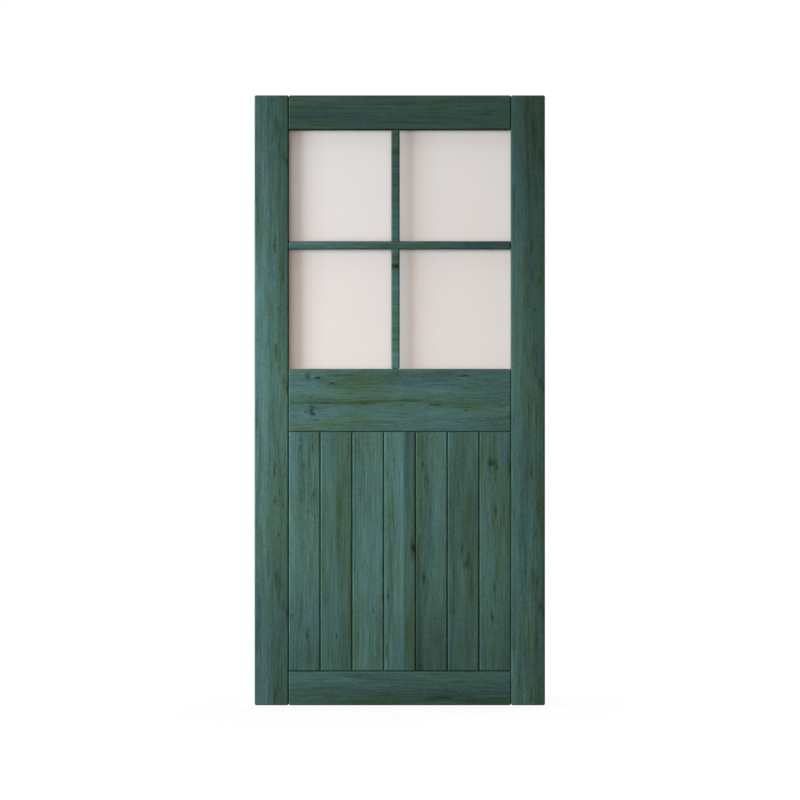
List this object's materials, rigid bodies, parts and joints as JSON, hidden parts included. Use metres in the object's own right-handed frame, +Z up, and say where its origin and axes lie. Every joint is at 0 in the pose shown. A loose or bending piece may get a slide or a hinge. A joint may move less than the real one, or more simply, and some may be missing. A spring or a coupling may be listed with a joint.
{
  "type": "sliding barn door leaf",
  "caption": "Flat sliding barn door leaf: a stained wooden stile-and-rail frame with a barred frosted pane above and a flush tongue-and-groove plank field below.",
  "frame": {"origin": "middle of the leaf's width and thickness, at the bottom edge", "axes": "+X to the right seen from the front, +Y from the front to the back, +Z up; the front faces -Y"},
  "size_m": [1.016, 0.044, 2.134],
  "materials": {
    "stained_wood": "teal-green stain with a satin sealer over knotty softwood",
    "frosted_glass": "milky white, etched matt",
    "glazing_tape": "closed-cell foam",
    "setting_block": "matt"
  },
  "bodies": {
    "root": {"left_stile": "stained_wood", "right_stile": "stained_wood", "top_rail": "stained_wood", "middle_rail": "stained_wood", "bottom_rail": "stained_wood", "cross_bar": "stained_wood", "upright_bar": "stained_wood", "plank_1": "stained_wood", "plank_2": "stained_wood", "plank_3": "stained_wood", "plank_4": "stained_wood", "plank_5": "stained_wood", "plank_6": "stained_wood", "plank_7": "stained_wood", "pane": "frosted_glass", "tape": "glazing_tape", "setting_blocks": "setting_block", "bead_bottom": "stained_wood", "bead_left": "stained_wood", "bead_top": "stained_wood", "bead_right": "stained_wood"}
  },
  "joints": []
}
